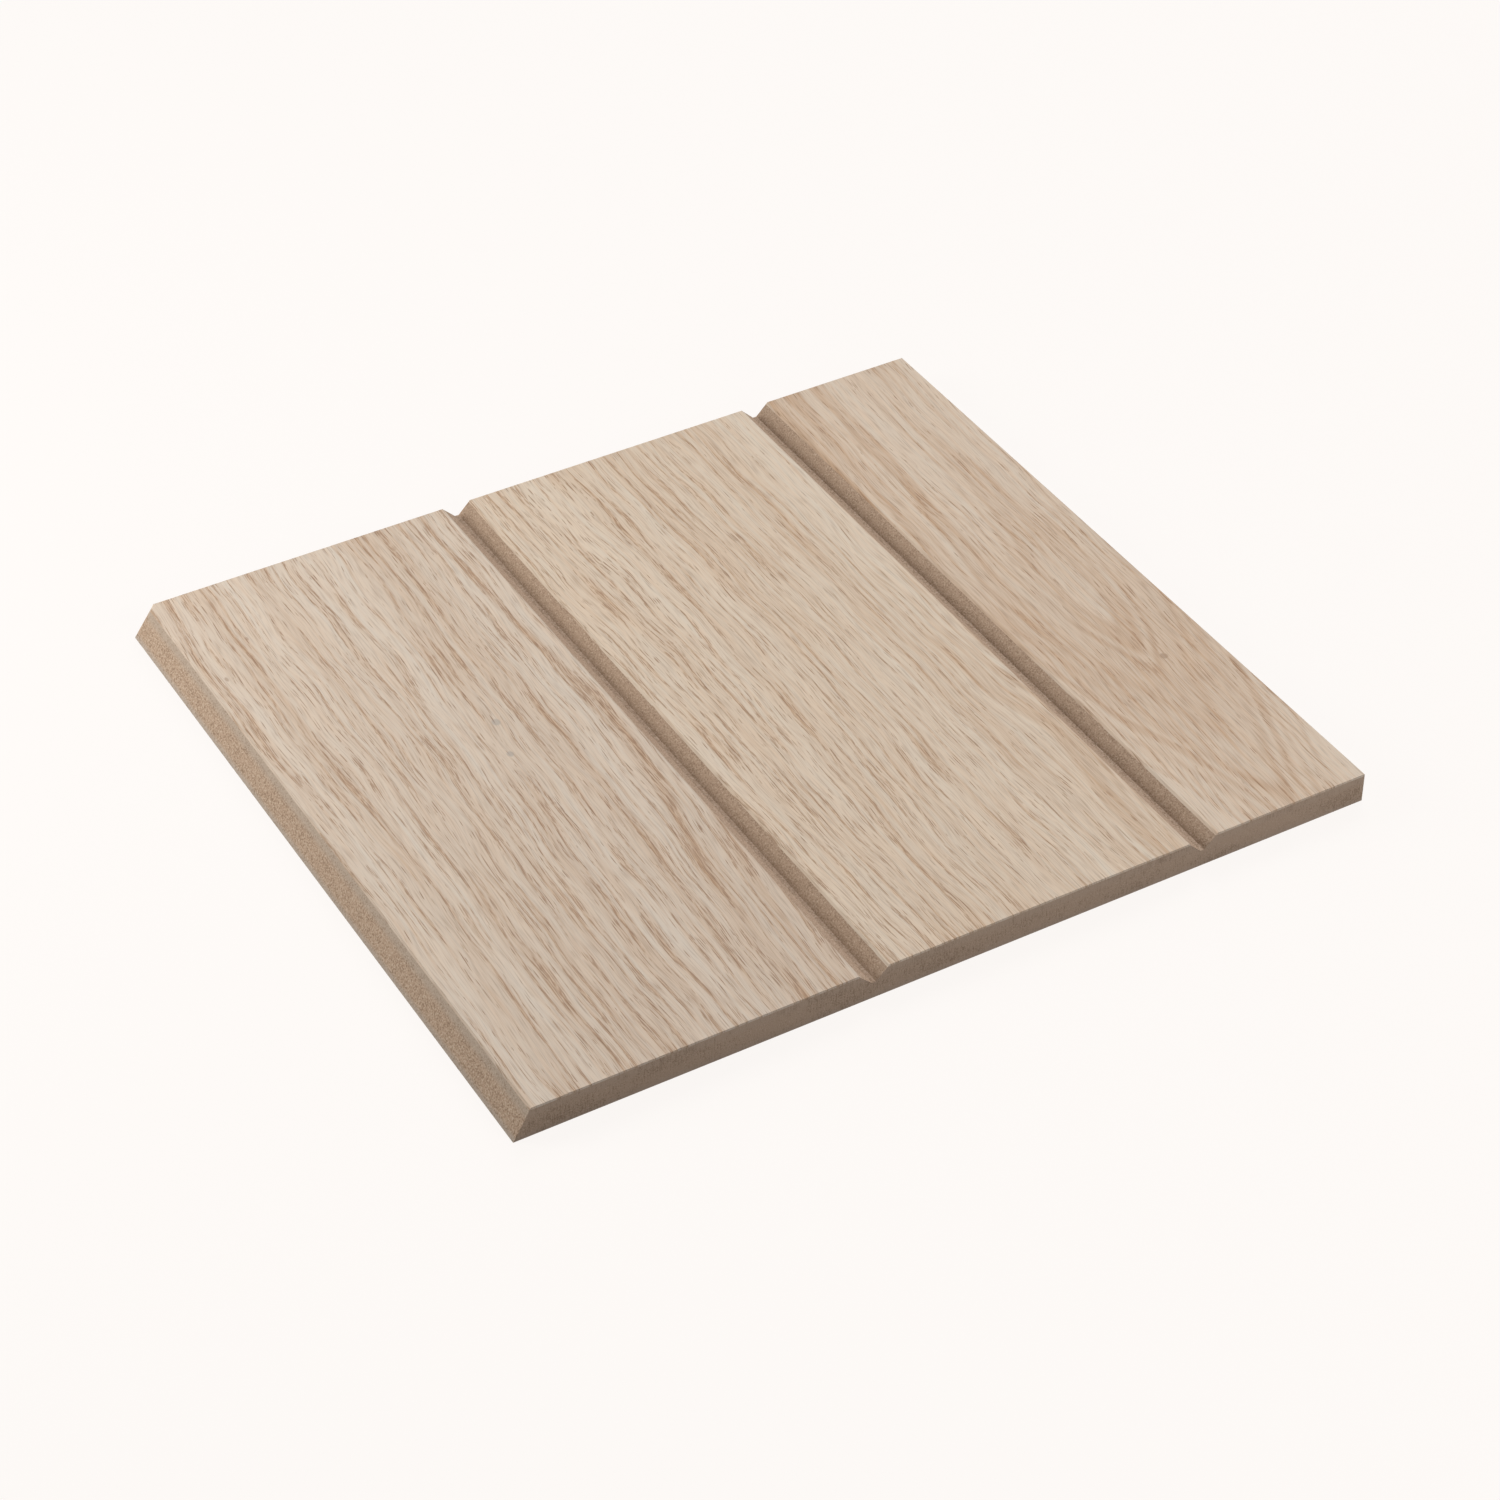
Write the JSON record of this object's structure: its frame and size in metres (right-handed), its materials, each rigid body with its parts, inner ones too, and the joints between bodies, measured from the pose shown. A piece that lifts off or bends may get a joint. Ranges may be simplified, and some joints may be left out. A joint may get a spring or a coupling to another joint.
{
  "type": "v-groove wall panel",
  "caption": "Flat wall panel of fibreboard faced with oak veneer, cut by v-grooves along its length and with one bevelled long edge.",
  "frame": {"origin": "middle of the panel's back face", "axes": "+X from the bevelled edge to the square edge, +Y along the grooves, +Z out of the oak face"},
  "size_m": [0.2536, 0.232, 0.009],
  "materials": {
    "fibreboard": "raw cut fibreboard, matt",
    "oak_veneer": "sanded pale oak, matt, unvarnished"
  },
  "bodies": {
    "root": {"fibreboard_core": "fibreboard", "face_veneer_1": "oak_veneer", "face_veneer_2": "oak_veneer", "face_veneer_3": "oak_veneer"}
  },
  "joints": []
}
